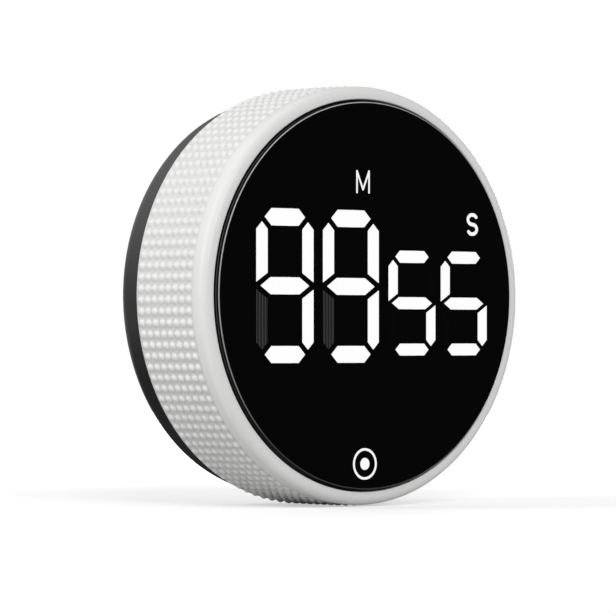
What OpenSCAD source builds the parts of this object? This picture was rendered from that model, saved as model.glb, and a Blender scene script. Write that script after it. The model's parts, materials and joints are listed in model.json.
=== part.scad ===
/* [Dial ring] */
// Diameter over the tips of the grip bumps
dial_d = 78; // [77.5:0.5:90]
// Height of one grip bump
bump_h = 0.4; // [0.2:0.05:0.6]
// Rows of bumps along the axis
bump_rows = 8; // [4:1:10]
// Bumps in one row around the ring
bump_count = 116; // [60:2:140]
// Wall of the ring under the bumps
ring_wall = 2.3; // [2:0.1:2.6]
// Depth of the smooth rim in front of the bumps
rim_depth = 3.6; // [3:0.1:5]
// Rise of the smooth rim above the floor between the bumps
rim_step = 0.15; // [0.05:0.05:0.3]
// Rounding of the front rim
rim_fillet = 1.6; // [0.8:0.1:2]
// Thickness of the toothed flange inside the ring
flange_t = 2; // [1.6:0.1:2.4]
// Distance from the bore of the ring to the pitch circle of its teeth
pitch_inset = 2.7; // [2.5:0.1:3.2]

/* [Case] */
// Depth from the back face to the face of the lens
case_depth = 28; // [27:0.5:34]
// Depth of the back shell
shell_depth = 7.2; // [6.8:0.1:7.6]
// Step from the bump tips in to the side of the back shell
shell_inset = 1.8; // [1.4:0.1:2.4]
// Rounding of the back edge of the shell
shell_fillet = 2.9; // [1.5:0.1:3.2]
// Side wall of the back shell
shell_wall = 2; // [1.6:0.1:2.4]
// Floor of the back shell
floor_t = 2.2; // [2:0.1:2.6]
// Wall of the chassis barrel
chassis_wall = 1.5; // [1.2:0.1:1.8]
// Thickness of the chassis bulkhead
bulkhead_t = 1.4; // [1.2:0.1:1.8]
// Radius of a screw boss
boss_r = 3; // [2.8:0.1:3.2]
// Height of the screw bosses above and below the centre
boss_y = 18.5; // [17:0.5:19]

/* [Lens panel] */
// Thickness of the lens
lens_t = 2; // [1.6:0.1:2.4]
// Height of the lens face above the lip of the ring
lens_proud = 0.65; // [0.4:0.05:0.9]
// Chamfer round the lens face
lens_chamfer = 0.25; // [0.1:0.05:0.4]
// Thickness of the carrier behind the lens
carrier_t = 1.6; // [1.4:0.1:2]
// Radius of a hinge pin of the carrier
hinge_pin_r = 0.9; // [0.8:0.05:1]
// Radius of the post that presses the switch
post_r = 1.5; // [1:0.1:2]
// Depth of the printed marks in the lens
mark_depth = 0.4; // [0.2:0.05:0.6]

/* [Display] */
// Width of a minute digit
minute_w = 13.7; // [13:0.1:14.4]
// Height of a minute digit
minute_h = 28.2; // [26:0.1:29]
// Height of a level bar in a minute digit
minute_bar = 3.18; // [2.6:0.02:3.6]
// Width of an upright in a minute digit
minute_up = 2.76; // [2.2:0.02:3]
// Width of a second digit
second_w = 11.8; // [11:0.1:12.2]
// Height of a second digit
second_h = 19.6; // [18:0.1:20]
// Height of a level bar in a second digit
second_bar = 2.3; // [2:0.01:2.6]
// Width of an upright in a second digit
second_up = 2.36; // [2:0.02:2.6]
// Distance between the minute digits
minute_pitch = 15.9; // [15.6:0.1:16.2]
// Distance between the second digits
second_pitch = 13.1; // [12.9:0.1:13.4]
// Middle of the minute digits, to the right of the centre
minute_right = -12.25; // [-12.4:0.05:-11.4]
// Middle of the minute digits, above the centre
minute_rise = 1.65; // [0:0.05:3]
// Middle of the second digits, to the right of the centre
second_right = 17.35; // [17:0.05:18]
// Middle of the second digits, above the centre
second_rise = -1.35; // [-2:0.05:1]
// Height of the unit letters
letter_h = 4.4; // [3.5:0.1:5]
// Outer diameter of the start mark
mark_d = 5.9; // [5:0.1:7]

/* [Battery bay] */
// Diameter of a cell
cell_d = 10.5; // [10.2:0.1:10.7]
// Length of a cell
cell_len = 44.5; // [43:0.1:45]
// Length left for a contact spring
spring_len = 4.7; // [4.2:0.1:5]
// Wire of a contact spring
spring_wire = 0.6; // [0.5:0.05:0.7]
// Turns of a contact spring
spring_turns = 3.5; // [2:0.5:3.5]
// Wall of the bay
bay_wall = 1.2; // [1:0.1:1.4]
// Thickness of the battery door
door_t = 1.6; // [1.4:0.1:1.8]
// Depth of the door below the back face
door_sink = 0.2; // [0.1:0.05:0.4]

/* [Electronics] */
// Thickness of the main board
board_t = 1.2; // [1:0.1:1.6]
// Side of the tact switch
tact_side = 6; // [5:0.1:6.4]
// Height of the body of the tact switch
tact_h = 3.5; // [3:0.1:4]
// Radius of the encoder body
encoder_r = 5.2; // [4.6:0.1:5.3]
// Diameter of the buzzer
buzzer_d = 12; // [10:0.5:12.5]
// Diameter of a magnet
magnet_d = 9; // [7:0.5:9.5]
// Thickness of a magnet
magnet_t = 2; // [1.5:0.1:2.2]
// Width of the volume knob
knob_w = 3; // [2.4:0.1:3.4]
// Travel of the volume knob to each side
knob_travel = 2; // [1:0.1:2.2]

/* [Clearances] */
// Running gap between the ring and the chassis
run_gap = 0.3; // [0.2:0.05:0.4]
// Gap between the lens and the bore of the ring
lens_gap = 0.4; // [0.3:0.05:0.6]
// Gap between the back shell and the ring
ring_gap = 0.35; // [0.25:0.05:0.5]
// Gap between the flange of the ring and the chassis
axial_gap = 0.25; // [0.2:0.05:0.4]
// Gap round a piece set in a pocket
fit_gap = 0.05; // [0.03:0.01:0.08]
// Gap round a piece that slides or swings
slide_gap = 0.25; // [0.2:0.05:0.3]
// Gap at each side of a gear tooth
backlash = 0.09; // [0.06:0.01:0.12]

/* [Hidden] */
$fn = 96;
// Cutters run this far past what they cut
past = 1;

// Radii, from the bump tips inward
dial_r = dial_d / 2;
grip_r = dial_r - bump_h;
rim_r = grip_r + rim_step;
bore_r = grip_r - ring_wall;
lens_r = bore_r - lens_gap;
chassis_r = bore_r - run_gap;
chassis_in_r = chassis_r - chassis_wall;
carrier_r = chassis_in_r - 0.4;
board_r = chassis_in_r - 0.6;
shell_r = dial_r - shell_inset;
shell_in_r = shell_r - shell_wall;
// The display is drawn for a lens of this radius, and follows the lens
drawn_r = 35.9;
layout = lens_r / drawn_r;

// Levels along the axis, from the back face forward
lens_front = case_depth;
lens_rear = lens_front - lens_t;
lip_z = lens_front - lens_proud;
ring_rear = shell_depth + ring_gap;
flange_front = ring_rear + flange_t;
chassis_rear = flange_front + axial_gap;
press_room = 0.7;
chassis_front = lens_rear - press_room - slide_gap;
carrier_rear = lens_rear - carrier_t;
reflector_front = lens_rear - press_room;
door_in = door_sink + door_t;
cell_lift = 0.9;
cell_gap = 0.3;
cell_r = cell_d / 2;
cell_z = door_in + cell_lift + cell_r;
bay_ceiling = cell_z + cell_r + cell_gap;
bay_top = bay_ceiling + bay_wall;
board_lift = 0.3;
board_rear = bay_top + board_lift;
board_front = board_rear + board_t;
standoff_h = 1;
bulkhead_front = board_rear - standoff_h;
bulkhead_rear = bulkhead_front - bulkhead_t;
boss_joint = flange_front;

// Dial drive: teeth inside the ring turn a pinion on the encoder
pinion_teeth = 12;
drive_ratio = 7;
ring_teeth = pinion_teeth * drive_ratio;
pressure_angle = 20;
ring_pitch_r = bore_r - pitch_inset;
gear_module = 2 * ring_pitch_r / ring_teeth;
pinion_pitch_r = pinion_teeth * gear_module / 2;
encoder_x = ring_pitch_r - pinion_pitch_r;
tooth_tip = gear_module;
tooth_root = 1.25 * gear_module;
// The ring's teeth are cut short so that they clear the roots of the small pinion
ring_tooth_tip = 0.62 * gear_module;
ring_tip_r = ring_pitch_r - ring_tooth_tip;
ring_root_r = ring_pitch_r + tooth_root;
pinion_tip_r = pinion_pitch_r + tooth_tip;
pinion_root_r = pinion_pitch_r - tooth_root;
shaft_r = 1.5;
flank_steps = 4;

// Battery bay, centred on the back
cell_pitch = 2 * cell_r + 0.5;
plate_t = 0.4;
bay_x = cell_pitch + cell_r + 0.55;
bay_y = (cell_len + spring_len) / 2 + plate_t;
bay_out_x = bay_x + bay_wall;
bay_out_y = bay_y + bay_wall;
nub_r = 1.9;
nub_h = 1;
spring_base_r = 3.4;
spring_tip_r = 2.2;
plate_w = 8;
plate_low = 5.5;
plate_high = 11.5;
tab_w = 3;

// Battery door and its hinge at the upper end
door_edge = 0.3;
door_x = bay_x + 0.2;
door_low = -bay_y - 0.6;
barrel_r = 1.1;
barrel_pin_r = 0.65;
barrel_pin_len = 1;
barrel_y = bay_y + 0.9;
barrel_z = door_sink + barrel_r;
barrel_bore_r = barrel_pin_r + 0.15;
trough_x = door_x + door_edge;
trough_y = barrel_y + barrel_r + door_edge;
trough_top = barrel_z + barrel_r + door_edge;
hood_t = 0.9;
tongue_w = 2.2;
tongue_t = 1;
tongue_top = 5;
tongue_x = cell_pitch / 2;

// Screws
boss_at = [bay_out_x + boss_r + 0.9, boss_y];
shank_r = 1;
shank_bore_r = 1.2;
head_r = 2;
head_h = 1.2;
head_sink = 0.4;
head_seat = head_sink + head_h;
case_screw_end = bulkhead_front - 1;
standoff_r = 2.2;
standoff_inset = 2.45;
standoff_at = polar(board_r - standoff_inset, 48.4);
standoff_root = bulkhead_rear - 1.6;
board_screw_end = standoff_root + 0.9;

// Display
minute_at = layout * [minute_right, minute_rise];
second_at = layout * [second_right, second_rise];
minute_split = 0.62;
second_split = 0.31;
minute_style = layout * [minute_w, minute_h, minute_bar, minute_up, minute_split];
second_style = layout * [second_w, second_h, second_bar, second_up, second_split];
minute_step = layout * minute_pitch / 2;
second_step = layout * second_pitch / 2;
minute_x = [minute_at[0] - minute_step, minute_at[0] + minute_step];
second_x = [second_at[0] - second_step, second_at[0] + second_step];
segment_names = "abcdefg";
minute_lit = "abcdfg";
minute_dark = "e";
second_lit = "acdfg";
second_dark = "be";
well_wall = 0.6;
well_gap = 0.1;
carrier_rim = 1.9;
well_r = carrier_r - carrier_rim;
reflector_gap = 0.4;
letter_size = layout * letter_h;
letter_m_place = [-1.35, 21];
letter_s_place = [26.1, 13.6];
letter_m_line = 0.44;
letter_s_line = 0.72;
start_place = [-0.9, -31.1];
start_line = 0.52;
start_dot = 2.3;
letter_m_at = layout * letter_m_place;
letter_s_at = layout * letter_s_place;
letter_m_stroke = layout * letter_m_line;
letter_s_stroke = layout * letter_s_line;
start_mark_d = layout * mark_d;
start_mark_at = layout * start_place;
start_mark_stroke = layout * start_line;
start_dot_d = layout * start_dot;
led_size = [1.6, 0.8];
led_h = 0.7;

// Lens panel hinge at the top, switch post at the bottom
hinge_y = chassis_in_r - 3.5;
hinge_z = carrier_rear - 1.4;
ear_r = 1.2;
ear_x = [6, 7.8];
lug_x = [ear_x[1] + slide_gap, ear_x[1] + slide_gap + 2.1];
lug_reach = 1.9;
hinge_bore_r = hinge_pin_r + 0.15;
switch_y = -(board_r - tact_side / 2 - 1.4);
tact_top = board_front + tact_h;
plunger_r = 1.7;
plunger_reach = 1.35;
plunger_room = 0.6;
plunger_top = tact_top + plunger_reach;
plunger_seat = tact_top - 1.4;
post_end = plunger_top + fit_gap;

// Sounder, magnets and volume switch
buzzer_x = -(bay_out_x + ring_tip_r) / 2;
buzzer_rear = 6;
sound_hole_r = 0.6;
sound_ring_r = 2.6;
sound_holes = 6;
magnet_sink = 0.1;
magnet_rim = 1;
magnet_inset = 2.1;
magnet_at = polar(shell_r - shell_fillet - magnet_d / 2 - magnet_inset, 20);
knob_h = 2;
knob_sink = 0.35;
shield_t = 0.8;
slot_x = knob_w / 2 + knob_travel + slide_gap;
slot_y = knob_h / 2 + slide_gap;
shield_lap = 0.4;
shield_x = slot_x + knob_travel + shield_lap;
shield_y = slot_y + shield_lap;
volume_y = (trough_y + hood_t + shield_y + ring_tip_r - knob_h / 2) / 2;
switch_size = [9, 4];
switch_rear = flange_front + 0.9;
knob_top = switch_rear + 2;
encoder_rear = flange_front + 0.7;
encoder_bore_end = bulkhead_front + 0.2;

white = [0.93, 0.93, 0.92];
black = [0.09, 0.09, 0.1];
dark = [0.02, 0.02, 0.022];
steel = [0.72, 0.73, 0.75];

// Points of an arc round a centre, from one angle to another
function arc(centre, radius, from, to, steps = 8) =
    [for (i = [0 : steps]) centre + polar(radius, from + (to - from) * i / steps)];
function polar(r, angle) = [r * cos(angle), r * sin(angle)];
function reversed(list) = [for (i = [len(list) - 1 : -1 : 0]) list[i]];
// Involute angle, and half the angle of a tooth at a radius
function involute(angle) = tan(angle) * 180 / PI - angle;
function half_tooth(r, teeth, pitch_r, slack) =
    90 / teeth + involute(pressure_angle) + slack / pitch_r * 180 / PI
    - involute(acos(min(1, pitch_r * cos(pressure_angle) / r)));
// Outline of a toothed wheel, with a tooth on the x axis
function wheel_outline(teeth, pitch_r, low_r, high_r, slack) =
    let (start_r = max(low_r, pitch_r * cos(pressure_angle)))
    let (flank = [for (i = [0 : flank_steps]) start_r + (high_r - start_r) * i / flank_steps])
    [for (t = [0 : teeth - 1]) let (turn = 360 * t / teeth) each concat(
        low_r < start_r ? [polar(low_r, turn - half_tooth(start_r, teeth, pitch_r, slack))] : [],
        [for (r = flank) polar(r, turn - half_tooth(r, teeth, pitch_r, slack))],
        [for (r = reversed(flank)) polar(r, turn + half_tooth(r, teeth, pitch_r, slack))],
        low_r < start_r ? [polar(low_r, turn + half_tooth(start_r, teeth, pitch_r, slack))] : []
    )];

// The model is laid out face up and then stood upright with its face to the front
module stand() {
    rotate([90, 0, 0]) children();
}

module at(z) {
    translate([0, 0, z]) children();
}

module four_ways(place) {
    for (x = [-1, 1], y = [-1, 1]) translate([x * place[0], y * place[1], 0]) children();
}

// Block given by its low and high corners
module block(low, high) {
    translate(low) cube(high - low);
}

// Block centred on the axis, given by half its sides
module pad(half, from, to) {
    block([-half[0], -half[1], from], [half[0], half[1], to]);
}

// Cutter that runs past both faces of what it cuts
module through(from, to) {
    at(from - past) linear_extrude(to - from + 2 * past) children();
}

module rod(r, from, to) {
    at(from) cylinder(r = r, h = to - from);
}

// Rod along x
module cross_rod(r, from, to) {
    translate([from, 0, 0]) rotate([0, 90, 0]) cylinder(r = r, h = to - from, $fn = 48);
}

// Dial ring
grip_low = ring_rear + 0.3;
grip_high = lip_z - rim_depth;
grip_bed_r = grip_r - 0.3;
grip_root_r = grip_r - 0.02;
grip_hold = 0.1;
grip_hold_r = grip_r - 0.15;
rear_round = 0.3;
lip_round = 0.3;

function ring_profile() = concat(
    [[bore_r, flange_front], [ring_tip_r - past, flange_front], [ring_tip_r - past, ring_rear]],
    arc([grip_r - rear_round, ring_rear + rear_round], rear_round, -90, 0, 4),
    [[grip_r, grip_low], [grip_bed_r, grip_low], [grip_bed_r, grip_high], [rim_r, grip_high]],
    arc([rim_r - rim_fillet, lip_z - rim_fillet], rim_fillet, 0, 90),
    arc([bore_r + lip_round, lip_z - lip_round], lip_round, 90, 180, 4)
);

// Levels of the grip band: its two buried ends and the floor lines between the rows of bumps
function grip_row_z(row) = grip_low + 0.05 + (grip_high - grip_low - 0.1) * row / bump_rows;
function grip_levels() = concat(
    [[grip_bed_r - 0.2, grip_low - grip_hold], [grip_hold_r, grip_low - grip_hold]],
    [for (row = [0 : bump_rows]) [grip_root_r, grip_row_z(row)]],
    [[grip_hold_r, grip_high + grip_hold], [grip_bed_r - 0.2, grip_high + grip_hold]]
);

// Band of bumps: each cell of its grid rises to a point
module grip_band() {
    levels = grip_levels();
    count = len(levels);
    step = 360 / bump_count;
    floor_points = [for (l = levels, i = [0 : bump_count - 1]) [each polar(l[0], i * step), l[1]]];
    tips = [
        for (row = [0 : bump_rows - 1], i = [0 : bump_count - 1])
            [each polar(dial_r, (i + 0.5) * step), (grip_row_z(row) + grip_row_z(row + 1)) / 2]
    ];
    function corner(l, i) = (l % count) * bump_count + i % bump_count;
    function tip(row, i) = count * bump_count + row * bump_count + i;
    plain = concat([0, 1], [for (l = [count - 3 : count - 1]) l]);
    plain_faces = [
        for (l = plain, i = [0 : bump_count - 1]) each [
            [corner(l, i), corner(l + 1, i), corner(l, i + 1)],
            [corner(l, i + 1), corner(l + 1, i), corner(l + 1, i + 1)]
        ]
    ];
    bump_faces = [
        for (row = [0 : bump_rows - 1], i = [0 : bump_count - 1]) let (l = row + 2) each [
            [corner(l, i), tip(row, i), corner(l, i + 1)],
            [corner(l, i + 1), tip(row, i), corner(l + 1, i + 1)],
            [corner(l + 1, i + 1), tip(row, i), corner(l + 1, i)],
            [corner(l + 1, i), tip(row, i), corner(l, i)]
        ]
    ];
    polyhedron(concat(floor_points, tips), concat(plain_faces, bump_faces));
}

module dial_ring() {
    color(white) stand() union() {
        difference() {
            rotate_extrude($fn = 180) polygon(ring_profile());
            through(ring_rear, flange_front)
                polygon(wheel_outline(ring_teeth, ring_pitch_r, ring_tip_r, ring_root_r, backlash));
        }
        grip_band();
    }
}

// Back shell with the battery bay
finger_r = 4;
finger_depth = 1;

module shell_body() {
    rotate_extrude($fn = 180) polygon(concat(
        [[0, 0]],
        arc([shell_r - shell_fillet, shell_fillet], shell_fillet, -90, 0),
        [[shell_r, shell_depth], [shell_in_r, shell_depth], [shell_in_r, floor_t], [0, floor_t]]
    ));
}

module shell_solids() {
    shell_body();
    pad([bay_out_x, bay_out_y], 0, bay_top);
    block([-bay_out_x, bay_y, 0], [bay_out_x, trough_y + hood_t, trough_top + hood_t]);
    four_ways(boss_at) rod(boss_r, 0, boss_joint);
    four_ways(magnet_at) rod(magnet_d / 2 + magnet_rim, 0, magnet_sink + magnet_t + magnet_rim);
}

module shell_cuts() {
    pad([bay_x, bay_y], -past, bay_ceiling);
    block([-trough_x, door_low - door_edge, -past], [trough_x, trough_y, door_in + door_edge]);
    block([-trough_x, bay_y - past, -past], [trough_x, trough_y, trough_top]);
    translate([0, barrel_y, barrel_z])
        cross_rod(barrel_bore_r, -trough_x - barrel_pin_len, trough_x + barrel_pin_len);
    four_ways(boss_at) {
        rod(shank_bore_r, -past, boss_joint + past);
        rod(head_r + slide_gap, -past, head_seat);
    }
    four_ways(magnet_at) rod(magnet_d / 2 + fit_gap, -past, magnet_sink + magnet_t);
    translate([buzzer_x, 0, 0]) {
        rod(sound_hole_r, -past, floor_t + past);
        for (i = [0 : sound_holes - 1]) rotate(360 * i / sound_holes)
            translate([sound_ring_r, 0, 0]) rod(sound_hole_r, -past, floor_t + past);
    }
    translate([0, volume_y, 0]) pad([slot_x, slot_y], -past, floor_t + past);
    translate([0, door_low - door_edge, 0]) rod(finger_r, -past, finger_depth);
    for (side = [-1, 1]) translate([side * cell_pitch, -side * (bay_y - plate_t), 0])
        pad([tab_w / 2 + slide_gap, plate_t + slide_gap], bay_ceiling - past, bay_top + past);
}

module back_shell() {
    color(black) stand() difference() {
        shell_solids();
        shell_cuts();
    }
}

// Battery door, shut, with its hinge barrel, two friction tongues and finger grooves
groove_w = 0.6;
groove_depth = 0.4;
groove_x = 6;
groove_pitch = 1.5;
groove_count = 4;

module battery_door() {
    color(black) stand() difference() {
        union() {
            block([-door_x, door_low, door_sink], [door_x, barrel_y, door_in]);
            translate([0, barrel_y, barrel_z]) {
                cross_rod(barrel_r, -door_x, door_x);
                cross_rod(barrel_pin_r, -door_x - barrel_pin_len, door_x + barrel_pin_len);
            }
            for (side = [-1, 1]) translate([side * tongue_x, -bay_y + door_edge, 0])
                block([-tongue_w / 2, 0, door_in - 0.2], [tongue_w / 2, tongue_t, tongue_top]);
        }
        for (i = [1 : groove_count]) translate([0, door_low + 1 + i * groove_pitch, 0])
            block([-groove_x, 0, -past], [groove_x, groove_w, door_sink + groove_depth]);
    }
}

// Cells lie side by side, the middle one turned the other way
module cell(place, way) {
    end = bay_y - plate_t - fit_gap;
    color([0.35, 0.4, 0.45]) stand() translate([place * cell_pitch, way * end, cell_z])
        rotate([way * 90, 0, 0]) {
            rod(nub_r, 0, nub_h);
            rod(cell_r, nub_h, cell_len);
        }
}

module cell_left() {
    cell(-1, 1);
}

module cell_middle() {
    cell(0, -1);
}

module cell_right() {
    cell(1, 1);
}

// Contact springs press on the flat ends of the cells
spring_steps = 8;
spring_sides = 6;
spring_rings = spring_turns * spring_steps;
spring_run = spring_len - spring_wire - 4 * fit_gap;
function spring_centre(i) =
    let (r = spring_base_r + (spring_tip_r - spring_base_r) * i / spring_rings)
    [each polar(r, 360 * i / spring_steps), spring_wire / 2 + fit_gap + spring_run * i / spring_rings];
spring_least_gap = min([
    for (i = [0 : spring_rings], j = [0 : spring_rings])
        if (j - i >= spring_steps - 1) norm(spring_centre(i) - spring_centre(j)) - spring_wire
]);
echo(spring_least_gap = spring_least_gap);

module contact_spring() {
    points = [
        for (i = [0 : spring_rings], s = [0 : spring_sides - 1])
            let (out = [each polar(1, 360 * i / spring_steps), 0])
            let (round = polar(spring_wire / 2, 360 * s / spring_sides))
            spring_centre(i) + round[0] * out + [0, 0, round[1]]
    ];
    function ring(i, s) = i * spring_sides + s % spring_sides;
    sides = [
        for (i = [0 : spring_rings - 1], s = [0 : spring_sides - 1]) each [
            [ring(i, s), ring(i + 1, s), ring(i, s + 1)],
            [ring(i, s + 1), ring(i + 1, s), ring(i + 1, s + 1)]
        ]
    ];
    ends = [
        for (s = [1 : spring_sides - 2]) each [
            [ring(0, 0), ring(0, s), ring(0, s + 1)],
            [ring(spring_rings, 0), ring(spring_rings, s + 1), ring(spring_rings, s)]
        ]
    ];
    polyhedron(points, concat(sides, ends));
}

module contact_springs() {
    color(steel) stand() for (place = [-1, 0, 1]) {
        way = place == 0 ? 1 : -1;
        translate([place * cell_pitch, way * (bay_y - plate_t), cell_z])
            rotate([way * 90, 0, 0]) contact_spring();
    }
}

// Contact plates at the ends of the bay: two bridges and two end plates with a tab to the board
module contact_plate(from, to, way, tab) {
    low = way > 0 ? bay_y - plate_t : -bay_y;
    block([from - plate_w / 2, low, plate_low], [to + plate_w / 2, low + plate_t, plate_high]);
    if (tab) block([from - tab_w / 2, low, plate_high - past], [from + tab_w / 2, low + plate_t, board_rear]);
}

module contact_plates() {
    color(steel) stand() {
        contact_plate(-cell_pitch, -cell_pitch, 1, true);
        contact_plate(0, cell_pitch, 1, false);
        contact_plate(-cell_pitch, 0, -1, false);
        contact_plate(cell_pitch, cell_pitch, -1, true);
    }
}

module magnets() {
    color(steel) stand() four_ways(magnet_at) rod(magnet_d / 2, magnet_sink, magnet_sink + magnet_t);
}

// Screw with its head at the origin and a cross recess
recess_w = 0.6;
recess_len = 2.4;
recess_depth = 0.6;

module screw(length) {
    difference() {
        union() {
            rod(head_r, 0, head_h);
            rod(shank_r, head_h - fit_gap, head_h + length);
        }
        for (turn = [0, 90]) rotate(turn) pad([recess_len, recess_w] / 2, -past, recess_depth);
    }
}

module case_screws() {
    color(steel) stand() four_ways(boss_at) at(head_sink) screw(case_screw_end - head_seat);
}

module board_screws() {
    color(steel) stand() four_ways(standoff_at) at(board_front + head_h)
        mirror([0, 0, 1]) screw(board_front - board_screw_end);
}

// Chassis: barrel that the ring runs on, bulkhead, bosses, standoffs and hinge lugs
module chassis_solids() {
    difference() {
        rod(chassis_r, chassis_rear, chassis_front);
        rod(chassis_in_r, chassis_rear - past, chassis_front + past);
    }
    rod(chassis_in_r + chassis_wall / 2, bulkhead_rear, bulkhead_front);
    four_ways(boss_at) rod(boss_r, boss_joint, bulkhead_front);
    four_ways(standoff_at) rod(standoff_r, standoff_root, board_rear);
    lug_end = sqrt(pow(chassis_r, 2) - pow(lug_x[1], 2)) - chassis_wall / 2;
    for (side = [0, 1]) mirror([side, 0, 0])
        block([lug_x[0], hinge_y - lug_reach, hinge_z - lug_reach], [lug_x[1], lug_end, hinge_z + ear_r]);
}

module chassis_cuts() {
    pad([bay_out_x + slide_gap, bay_out_y + slide_gap], 0, bay_top + slide_gap);
    translate([encoder_x, 0, 0]) rod(encoder_r + slide_gap, chassis_rear, bulkhead_front + past);
    translate([buzzer_x, 0, 0]) rod(buzzer_d / 2 + slide_gap, chassis_rear, bulkhead_front + past);
    translate([0, volume_y, 0])
        pad(switch_size / 2 + [slide_gap, slide_gap], chassis_rear, bulkhead_front + past);
    four_ways(boss_at) rod(shank_r + fit_gap, boss_joint - past, case_screw_end + 0.3);
    four_ways(standoff_at) rod(shank_r + fit_gap, board_screw_end - 0.3, board_rear + past);
    translate([0, hinge_y, hinge_z]) cross_rod(hinge_bore_r, -lug_x[1] - past, lug_x[1] + past);
}

module chassis() {
    color([0.16, 0.16, 0.17]) stand() difference() {
        chassis_solids();
        chassis_cuts();
    }
}

// Main board and what it carries
module main_board() {
    color([0.05, 0.3, 0.16]) stand() difference() {
        rod(board_r, board_rear, board_front);
        four_ways(standoff_at) rod(shank_bore_r, board_rear - past, board_front + past);
    }
}

well_top = minute_at[1] + minute_style[1] / 2 + well_wall;
chip_right = 14;
chip_gap = 0.45;
chip_size = [7, 7];
chip_at = [chip_right, well_top + chip_gap + chip_size[1] / 2];
chip_h = 1.4;

module controller_chip() {
    color(dark) stand() translate([each chip_at, board_front]) pad(chip_size / 2, 0, chip_h);
}

capacitor_right = -13;
capacitor_gap = 4.45;
capacitor_r = 2.5;
capacitor_at = [capacitor_right, well_top + capacitor_gap + capacitor_r];
capacitor_h = 5;
resistor_size = [2, 1.2];
resistor_h = 0.6;
resistor_pitch = 4.5;
resistor_y = -20;

module small_components() {
    color([0.6, 0.5, 0.3]) stand() at(board_front) {
        translate(capacitor_at) cylinder(r = capacitor_r, h = capacitor_h);
        for (i = [-3 : 3]) translate([i * resistor_pitch, resistor_y, 0])
            pad(resistor_size / 2, 0, resistor_h);
    }
}

buzzer_bore_r = 1.2;

module buzzer() {
    color(dark) stand() translate([buzzer_x, 0, 0]) difference() {
        rod(buzzer_d / 2, buzzer_rear, board_rear);
        rod(buzzer_bore_r, buzzer_rear - past, buzzer_rear + 2);
    }
}

// Seven-segment digits: pointed level bars, and uprights cut on the slant beside the middle bar
module level_bar(length, height, point) {
    polygon([
        [-length / 2, 0], [-length / 2 + point, height / 2], [length / 2 - point, height / 2],
        [length / 2, 0], [length / 2 - point, -height / 2], [-length / 2 + point, -height / 2]
    ]);
}

upright_slant = 0.62;

module upright(style, inset) {
    w = style[3];
    left = -style[0] / 2;
    high = style[1] / 2 - style[2] * 0.76;
    low = style[4];
    polygon([
        [left + inset, low + inset * 1.6], [left + w - inset, low + upright_slant * w + inset * 0.4],
        [left + w - inset, high - w / 2 - inset * 0.4], [left + w / 2, high - inset * 1.4],
        [left + inset, high - w / 2 - inset * 0.4]
    ]);
}

// One segment of a digit, drawn in by inset all round
module segment(style, name, inset) {
    bar = style[2] - 2 * inset;
    long = style[0] - style[3] * 1.45 - 2.8 * inset;
    middle = style[0] - style[3] * 0.72 - 3.4 * inset;
    if (name == "a") translate([0, style[1] / 2 - style[2] / 2]) level_bar(long, bar, bar / 2);
    if (name == "d") translate([0, -style[1] / 2 + style[2] / 2]) level_bar(long, bar, bar / 2);
    if (name == "g") level_bar(middle, bar, bar * 0.76);
    if (name == "f") upright(style, inset);
    if (name == "b") mirror([1, 0]) upright(style, inset);
    if (name == "e") mirror([0, 1]) upright(style, inset);
    if (name == "c") rotate(180) upright(style, inset);
}

module minutes(names, inset) {
    for (x = minute_x, name = names) translate([x, minute_at[1]]) segment(minute_style, name, inset);
}

module seconds(names, inset) {
    for (x = second_x, name = names) translate([x, second_at[1]]) segment(second_style, name, inset);
}

module all_segments(inset) {
    minutes(segment_names, inset);
    seconds(segment_names, inset);
}

module lens_inlay() {
    at(lens_rear) linear_extrude(lens_t) children();
}

module minute_segments_lit() {
    color([1, 1, 1]) stand() lens_inlay() minutes(minute_lit, fit_gap);
}

module minute_segments_dark() {
    color([0.17, 0.17, 0.17]) stand() lens_inlay() minutes(minute_dark, fit_gap);
}

module second_segments_lit() {
    color([1, 1, 1]) stand() lens_inlay() seconds(second_lit, fit_gap);
}

module second_segments_dark() {
    color([0.05, 0.05, 0.05]) stand() lens_inlay() seconds(second_dark, fit_gap);
}

// Straight stroke between two points, with round ends
module stroke(from, to, w) {
    run = to - from;
    translate(from) rotate(atan2(run[1], run[0])) {
        translate([0, -w / 2]) square([norm(run), w]);
        circle(d = w, $fn = 24);
        translate([norm(run), 0]) circle(d = w, $fn = 24);
    }
}

// Letters for minutes and seconds
module letter_m(w) {
    x = letter_size * 0.335;
    y = letter_size / 2 - letter_m_stroke / 2;
    dip = -y * 0.72;
    stroke([-x, -y], [-x, y], w);
    stroke([-x, y], [0, dip], w);
    stroke([0, dip], [x, y], w);
    stroke([x, y], [x, -y], w);
}

// The curve follows one oval from its upper right to the centre, and then the other oval the other way
function letter_s_point(t) =
    let (a = (letter_size * 0.68 - letter_s_stroke) / 2)
    let (b = (letter_size - letter_s_stroke) / 4)
    t < 270 ? [a * cos(t), b + b * sin(t)] : [a * cos(360 - t), -b + b * sin(360 - t)];

module letter_s(w) {
    step = 24;
    for (t = [30 : step : 486]) stroke(letter_s_point(t), letter_s_point(t + step), w);
}

module letters(inset) {
    translate(letter_m_at) letter_m(letter_m_stroke - 2 * inset);
    translate(letter_s_at) letter_s(letter_s_stroke - 2 * inset);
}

module start_sign(inset) {
    translate(start_mark_at) {
        difference() {
            circle(d = start_mark_d - 2 * inset);
            circle(d = start_mark_d - 2 * start_mark_stroke + 2 * inset);
        }
        circle(d = start_dot_d - 2 * inset, $fn = 48);
    }
}

module mark_inlay() {
    at(lens_front - mark_depth) linear_extrude(mark_depth) children();
}

module unit_letters() {
    color([1, 1, 1]) stand() mark_inlay() letters(fit_gap);
}

module start_mark() {
    color([1, 1, 1]) stand() mark_inlay() start_sign(fit_gap);
}

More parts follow.
